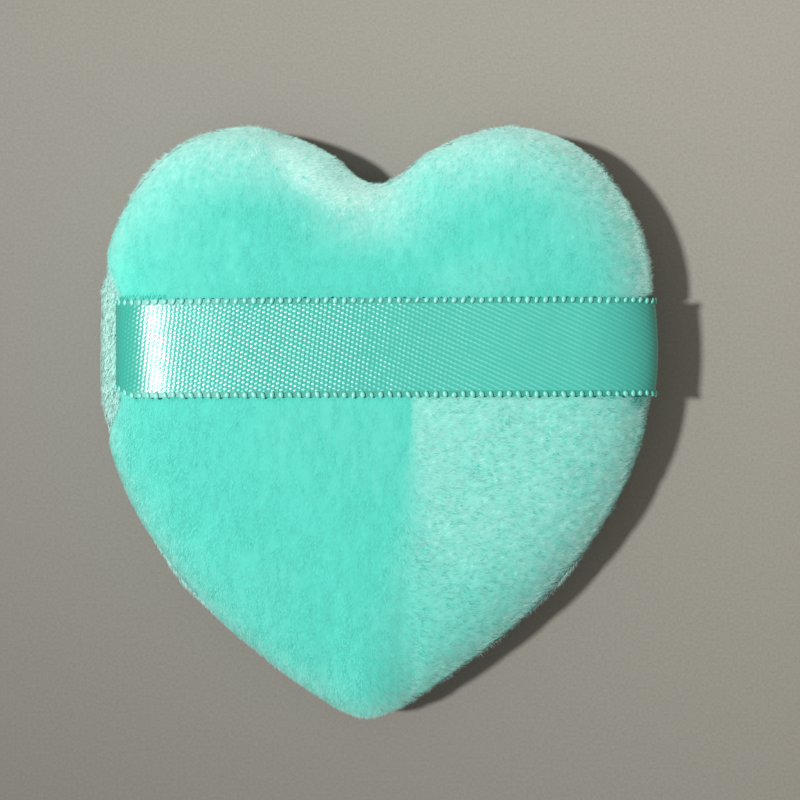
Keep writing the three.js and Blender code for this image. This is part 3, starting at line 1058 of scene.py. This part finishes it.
def ribbon_side(way, slack):
    beside = edge[np.abs(edge[:, 1] - ribbon_middle_y) < 0.2 * mm, 0]
    edge_x = beside.max() if way > 0 else beside.min()
    depth = abs(edge_x - axis_x) * np.linspace(0, 1, 300) ** 3
    row = np.column_stack([edge_x - way * depth, np.full(len(depth), ribbon_middle_y)])
    pad = stuffed_surface(*off_heart(row), 1)
    step_x, step_z = np.gradient(pad[:, 0]), np.gradient(pad[:, 2])
    size = np.hypot(step_x, step_z)
    off = ribbon_gap + ribbon_thickness / 2
    out = slack * (1 - np.clip(depth / shoulder_width, 0, 1))
    x = pad[:, 0] + way * (step_z / size * off + out)
    z = pad[:, 2] - way * step_x / size * off
    seam_x, seam_z = pad[0, 0], seam_height + tail_pull_up
    above = z > seam_z + (0.25 * mm if slack == 0 else 0.7 * mm)
    tail = [(seam_x - way * tail_length, seam_z), (seam_x - way * 0.4 * mm, seam_z)]
    if slack > 0:
        tail.append((seam_x + way * 0.55 * slack, seam_z - 0.1 * mm))
    return np.vstack([tail, np.column_stack([x, z])[above]])


# %% A smooth way through those points
def eased(points, step, width):
    way = np.concatenate([[0], np.cumsum(np.linalg.norm(np.diff(points, axis=0), axis=1))])
    marks = np.linspace(0, way[-1], int(way[-1] / step))
    even = np.stack([np.interp(marks, way, points[:, k]) for k in (0, 1)], axis=1)
    padded = np.vstack([even[:1]] * width + [even] + [even[-1:]] * width)
    kernel = np.hanning(2 * width + 3)[1:-1]
    kernel /= kernel.sum()
    return np.stack([np.convolve(padded[:, k], kernel, "valid") for k in (0, 1)], axis=1)


ribbon_curve = eased(np.vstack([ribbon_side(-1, 0), ribbon_side(1, ribbon_slack)[::-1]]),
                     ribbon_step, ribbon_ease)
ribbon_way = np.concatenate([[0], np.cumsum(np.linalg.norm(np.diff(ribbon_curve, axis=0), axis=1))])
on_top = np.abs(ribbon_curve[:, 0] - axis_x) < 15 * mm
middle_way = float(np.interp(axis_x, ribbon_curve[on_top, 0], ribbon_way[on_top]))
print(f"the ribbon is {ribbon_way[-1] / mm:.1f} mm long, {middle_way / mm:.1f} mm to its middle")


def ribbon_at(way, t):
    x = np.interp(way, ribbon_way, ribbon_curve[:, 0])
    z = np.interp(way, ribbon_way, ribbon_curve[:, 1])
    bow = ribbon_bow * t ** 2 * smooth_step(*ribbon_bow_span, x)
    narrow = end_narrowing * (1 - smooth_step(*end_narrowing_span, x)) * (t < 0)
    y = ribbon_y + x * ribbon_turn + t * (1 - narrow) * ribbon_face / 2
    return np.stack([x - bow, y, z], axis=-1)


def out_of_ribbon(way):
    ahead = ribbon_at(way + 0.05 * mm, 0)
    behind = ribbon_at(way - 0.05 * mm, 0)
    along = ahead - behind
    along[:, 1] = 0
    along /= np.linalg.norm(along, axis=1)[:, None]
    return along, np.stack([-along[:, 2], 0 * way, along[:, 0]], axis=1)


# %% [markdown]
# Satin shows the floats of its warp, held down by single weft threads at even points. Those
# points catch the light as rows of small dots. They are made in the material from three waves
# across each other, in millimetres along and across the ribbon, so that they follow it round
# the shoulders. The woven edge, the selvedge, has loops that stand up, and they are modelled.

# %% Satin
rising_wave = (0.717 * mm, -0.432 * mm)
falling_wave = (1.068 * mm, 0.487 * mm)
wave_wander = 1.2
edging_width = 0.6 * mm
edging_blur = 0.12 * mm
satin_teal = tone(74, 190, 174)
satin_deep = tone(58, 176, 159)
# the floats' lighter colour: partly their own tone, partly a painted glint
satin_float_tone_and_glint = tone(140, 230, 218)
# painted shade: used at the ribbon's ends and in the low band between the selvedge loops
painted_shade_satin_teal = tone(44, 160, 143)
thread_light = tone(150, 230, 218)


def satin():
    material, tree, shader = finish("satin", 0.24, Specular_IOR_Level=0.75)

    def work(operation, *values, clamp=False):
        return calculate(tree, operation, *values, clamp=clamp)

    cloth_map = add(tree, "ShaderNodeUVMap", uv_map="Cloth").outputs["UV"]
    wobble = add(tree, "ShaderNodeTexNoise", Scale=900.0, Detail=1.0)
    feed(tree, wobble.inputs["Vector"], cloth_map)
    split = add(tree, "ShaderNodeSeparateXYZ")
    feed(tree, split.inputs["Vector"], cloth_map)
    along, across = split.outputs["X"], split.outputs["Y"]
    shift = work("MULTIPLY", work("SUBTRACT", wobble.outputs["Fac"], 0.5), wave_wander)

    def turned_by(length, width):
        turn = work("MULTIPLY", along, 2 * math.pi / length)
        turn = work("ADD", turn, work("MULTIPLY", across, 2 * math.pi / width))
        return work("ADD", turn, shift)

    rising = turned_by(*rising_wave)
    falling = turned_by(*falling_wave)
    columns = work("ADD", rising, falling)
    rising_share = ramp(tree, along, 10 * mm, 34 * mm, 0.42, 0.05)
    column_share = ramp(tree, along, 30 * mm, 44 * mm, 0.42, 0.05)
    rest = work("SUBTRACT", 1, work("ADD", rising_share, column_share))
    height = work("MULTIPLY", rest, work("COSINE", falling))
    for share, turn in ((rising_share, rising), (column_share, columns)):
        height = work("ADD", height, work("MULTIPLY", share, work("COSINE", turn)))
    height = work("MULTIPLY", work("ADD", height, 0.45), 0.69, clamp=True)
    uneven = ramp(tree, wobble.outputs["Fac"], 0.3, 0.7, 0.7, 1.3)
    fading = ramp(tree, along, 25 * mm, 46 * mm, 1, 0.35)
    standing = work("ADD", ramp(tree, along, 7 * mm, 26 * mm, 0.25, 1.1),
                    ramp(tree, along, 4.4 * mm, 6.4 * mm, 0.9, 0))
    # painted shade where the ribbon turns down at its two ends
    painted_end_shade = work("ADD", ramp(tree, along, 5 * mm, 13 * mm, 1, 0),
                   ramp(tree, along, 51 * mm, 60 * mm, 0, 0.7))
    edging_from = ribbon_face / 2 - edging_width
    edging = ramp(tree, work("ABSOLUTE", across), edging_from - edging_blur, edging_from, 0, 1)
    strong = work("MULTIPLY", uneven, work("MULTIPLY", fading, work("SUBTRACT", 1, edging)))
    raised = work("MULTIPLY", height, strong)
    # the floats are painted lighter, partly their own tone and partly a painted glint that fades towards
    # the right end; the base is darker over the left part
    floats = work("MULTIPLY", work("POWER", height, 1.8), strong)
    colour = blend_colours(tree, fading, satin_teal, satin_deep)
    colour = blend_colours(tree, floats, colour, satin_float_tone_and_glint)
    # painted shade at the ends and in the low band between the selvedge loops
    for share in (painted_end_shade, edging):
        colour = blend_colours(tree, share, colour, painted_shade_satin_teal)
    feed(tree, shader.inputs["Base Color"], colour)
    dull = work("ADD", ramp(tree, raised, 0, 1, 0.18, 0.34), ramp(tree, edging, 0, 1, 0, 0.3))
    feed(tree, shader.inputs["Roughness"], dull)
    bump = add(tree, "ShaderNodeBump", Strength=1.0, Distance=0.06 * mm)
    feed(tree, bump.inputs["Height"], work("MULTIPLY", raised, standing))
    feed(tree, shader.inputs["Normal"], bump.outputs["Normal"])
    return material


strands = ("ShaderNodeTexNoise", "Fac", {"Scale": 5000.0, "Detail": 2.0})
satin_finish = satin()
selvedge_finish, *_ = textured("selvedge thread", 0.38, strands, (satin_teal, thread_light),
                               (0.5, 0.03 * mm), Specular_IOR_Level=0.8)

# %% One half of the ribbon
ribbon_cells_along = 260
ribbon_cells_across = 40
sheet_share = 1 - 0.12 * mm / (ribbon_face / 2)
sheet_thickness = 0.7 * ribbon_thickness
ripple_length = 5.5 * mm
ripple_height = 0.05 * mm


def ribbon_half(name, low, high):
    bm = bmesh.new()
    bmesh.ops.create_grid(bm, x_segments=ribbon_cells_along, y_segments=ribbon_cells_across, size=1)
    cloth_map = bm.loops.layers.uv.new("Cloth")
    bake_map = bm.loops.layers.uv.new("OFBake")
    for loop in (loop for face in bm.faces for loop in face.loops):
        s = (loop.vert.co.x + 1) / 2
        t = (loop.vert.co.y + 1) / 2
        loop[cloth_map].uv = (low + (high - low) * s, (t - 0.5) * ribbon_face * sheet_share)
        loop[bake_map].uv = (s * 0.98 + 0.01, t * 0.3 + 0.35)
    s = np.array([(v.co.x + 1) / 2 for v in bm.verts])
    t = np.array([v.co.y for v in bm.verts])
    way = low + (high - low) * s
    at = ribbon_at(way, t * sheet_share)
    wave = slow_noise(np.column_stack([way, at[:, 1], 0 * way]), ripple_length, noise_tables[1])
    at += out_of_ribbon(way)[1] * wave[:, None] * ripple_height
    put(bm, at)
    bm.normal_update()
    bmesh.ops.solidify(bm, geom=bm.faces[:], thickness=sheet_thickness)
    bmesh.ops.recalc_face_normals(bm, faces=bm.faces)
    mesh = as_mesh(bm, name)
    mesh.shade_smooth()
    mesh.set_sharp_from_angle(angle=0.7)
    return mesh


# %% The loops along its two edges
loop_spacing = 0.88 * mm
loop_inset = 0.33 * mm
loop_half_sizes = (0.25 * mm, 0.35 * mm, 0.12 * mm)


def one_loop():
    bm = bmesh.new()
    bmesh.ops.create_uvsphere(bm, u_segments=8, v_segments=5, radius=1)
    return corners_and_faces(bm)


loop_corners, loop_faces = one_loop()


def selvedge_half(name, low, high):
    random = np.random.default_rng(23)
    count = int((high - low) / loop_spacing)
    ways = low + (np.arange(count) + 0.5) * (high - low) / count
    tangent, out = out_of_ribbon(ways)
    places, faces = [], []
    for edge_side in (-1, 1):
        at = ribbon_at(ways, edge_side * (1 - loop_inset / (ribbon_face / 2)))
        jitter = random.uniform(0.85, 1.15, (count, 3))
        lean = random.normal(0, 0.12, count) + 0.15 * edge_side
        stray = random.normal(0, 0.03 * mm, count)
        for k in range(count):
            along = tangent[k]
            beside = np.array([0, 1.0, 0]) + along * lean[k]
            middle = at[k] + (0, stray[k], 0) + out[k] * 0.05 * mm
            shape = loop_corners * loop_half_sizes * jitter[k] @ np.array([along, beside, out[k]])
            faces.append(loop_faces + len(places) * len(loop_corners))
            places.append(middle + shape)
    mesh = bpy.data.meshes.new(name)
    mesh.from_pydata(np.vstack(places).tolist(), [], np.vstack(faces).tolist())
    mesh.shade_smooth()
    print(f"{name}: {2 * count} loops, {len(mesh.polygons)} faces")
    return mesh


# %% Lay the ribbon on the pad
seam_left = (ribbon_low.x, ribbon_middle_y, seam_height)
seam_right = (ribbon_high.x, ribbon_middle_y, seam_height)
for half, low, high, seam in (
    ("left", 0.0, middle_way, seam_left),
    ("right", middle_way, ribbon_way[-1], seam_right),
):
    name = f"finger_ribbon_{half}_half"
    piece = show(name, ribbon_half(name, low, high), satin_finish)
    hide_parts("finger_ribbon")
    name = f"finger_ribbon_{half}_selvedge"
    edging = show(name, selvedge_half(name, low, high), selvedge_finish)
    for part in (piece, edging):
        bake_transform(part)

# %% [markdown]
# ## Inside the pad
# The foam core can't be seen in the closed puff, but it is a piece of its own. It is a heart a
# little smaller than the covers' inside, with rounded edges.

# %% Foam core
core_cells = 60
core_bevel = 0.8 * mm
foam_cells = ("ShaderNodeTexVoronoi", "Distance", {"Scale": 1800.0})
foam_tones = (tone(240, 236, 224), tone(216, 210, 192))
foam_finish, *_ = textured("foam", 0.92, foam_cells, foam_tones, (0.6, 0.2 * mm))


def core_share(places):
    angle = np.linspace(-np.pi, np.pi, 400)
    way = np.stack([np.cos(angle), np.sin(angle)], axis=1)
    whole = np.interp(angle, turned, reaches)
    low, high = np.full(len(angle), 0.4), np.ones(len(angle))
    for halving in range(16):
        share = (low + high) / 2
        at = heart_middle + way * (whole * share)[:, None]
        distance, _ = distance_in(at)
        deep = distance - tail_pull(at) * tail_pull_in > core_inset
        low = np.where(deep, share, low)
        high = np.where(deep, high, share)
    away = places - heart_middle
    return np.interp(np.arctan2(away[:, 1], away[:, 0]), angle, low)


def core_mesh():
    bm = bmesh.new()
    flat = square_grid(bm, core_cells)
    places = on_heart(flat[:, 0], flat[:, 1])
    inside = heart_middle + (places - heart_middle) * core_share(places)[:, None]
    depth = wall_thickness + seat_gap
    bottom = height_under(inside, -1, depth)
    put(bm, np.column_stack([inside, bottom]))
    made = bmesh.ops.extrude_face_region(bm, geom=bm.faces[:])["geom"]
    top = [v for v in made if isinstance(v, bmesh.types.BMVert)]
    raised = height_under(np.array([v.co[:2] for v in top]), 1, depth)
    for vert, z in zip(top, raised):
        vert.co.z = z
    bmesh.ops.recalc_face_normals(bm, faces=bm.faces)
    sharp = [e for e in bm.edges if e.calc_face_angle(0) > 0.9]
    bmesh.ops.bevel(bm, geom=sharp, offset=core_bevel, segments=3, profile=0.5, affect="EDGES",
                    material=-1)
    mesh = as_mesh(bm, "foam_core_body")
    mesh.shade_smooth()
    return mesh


core = show("foam_core_body", core_mesh(), foam_finish)
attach(core, "pad")
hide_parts("foam_core")

# %% [markdown]
# The two sewing threads are the CAD's own solids. Their shapes are right, so they only get a
# twisted polyester finish.

# %% Sewing thread
twist = ("ShaderNodeTexWave", "Fac", {"Scale": 3000.0, "Distortion": 2.0})
twist_tones = (tone(60, 170, 156), tone(120, 222, 208))
thread_finish, *_ = textured("sewing thread", 0.5, twist, twist_tones, Sheen_Weight=0.3)
for node in ("seam_needle_thread", "seam_bobbin_thread"):
    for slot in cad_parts[node].material_slots:
        slot.material = thread_finish

# %% [markdown]
# ## Floor, light and camera
# The photograph looks straight down. A small soft lamp stands on the left, about fifty-four
# degrees up, and a faint warm sky fills the shadows. The floor is plain, with a fine grain, and
# its colour has painted light, a little lighter towards the top and the right. The camera's
# distance and lens show as much of it as the photograph does.

# %% Floor
grain = ("ShaderNodeTexNoise", "Fac", {"Scale": 3600.0, "Detail": 1.0})
floor_tones = (tone(127, 125, 116), tone(146, 143, 135))
floor_span = 40 * mm
floor_half_size = 2
floor_finish, tree, shader, floor_colour = textured("floor", 0.7, grain, floor_tones)
split = add(tree, "ShaderNodeSeparateXYZ")
feed(tree, split.inputs["Vector"], object_place(tree))
# painted light: the floor's colour is lighter towards the top and the right
uneven = calculate(tree, "ADD", ramp(tree, split.outputs["X"], -floor_span, floor_span, 0.80, 1.12),
                   ramp(tree, split.outputs["Y"], -floor_span, floor_span, -0.15, 0.13))
feed(tree, shader.inputs["Base Color"], brightened(tree, floor_colour, uneven))
bm = bmesh.new()
bmesh.ops.create_grid(bm, x_segments=1, y_segments=1, size=floor_half_size)
floor = show("floor", as_mesh(bm, "floor"), floor_finish)

# %% Light
lamp_height = math.radians(54.4)
lamp_turn = 0.03
lamp_distance = 700 * mm
lit_middle = Vector((20 * mm, 45 * mm, 0))
lamp_data = bpy.data.lights.new("lamp", "AREA")
lamp_data.shape = "DISK"
lamp_data.size = 55 * mm
lamp_data.energy = 0.77
lamp_data.spread = math.radians(70)
lamp = bpy.data.objects.new("lamp", lamp_data)
way_to_lamp = Vector((-math.cos(lamp_height), lamp_turn, math.sin(lamp_height))).normalized()
lamp.location = way_to_lamp * lamp_distance
lamp.rotation_euler = (lamp.location - lit_middle).to_track_quat("Z", "Y").to_euler()
bpy.context.scene.collection.objects.link(lamp)
world = bpy.data.worlds.new("studio")
world.use_nodes = True
sky = world.node_tree.nodes["Background"]
sky.inputs["Color"].default_value = (1.0, 0.96, 0.9, 1.0)
sky.inputs["Strength"].default_value = 0.35
bpy.context.scene.world = world
bpy.context.scene.view_settings.view_transform = "Standard"

# %% Camera
view_width = 80.8 * mm
view_middle = (1.94 * mm, 2.22 * mm)
camera_data = bpy.data.cameras.new("camera")
camera_data.lens = 85
camera_data.sensor_width = 36
camera_distance = view_width * camera_data.lens / camera_data.sensor_width
camera_data.clip_start = 0.01
camera_data.clip_end = 5
camera = bpy.data.objects.new("camera", camera_data)
camera.location = (*view_middle, seam_height + camera_distance)
bpy.context.scene.collection.objects.link(camera)
bpy.context.scene.camera = camera
print(f"camera {camera_distance / mm:.0f} mm above the seam")
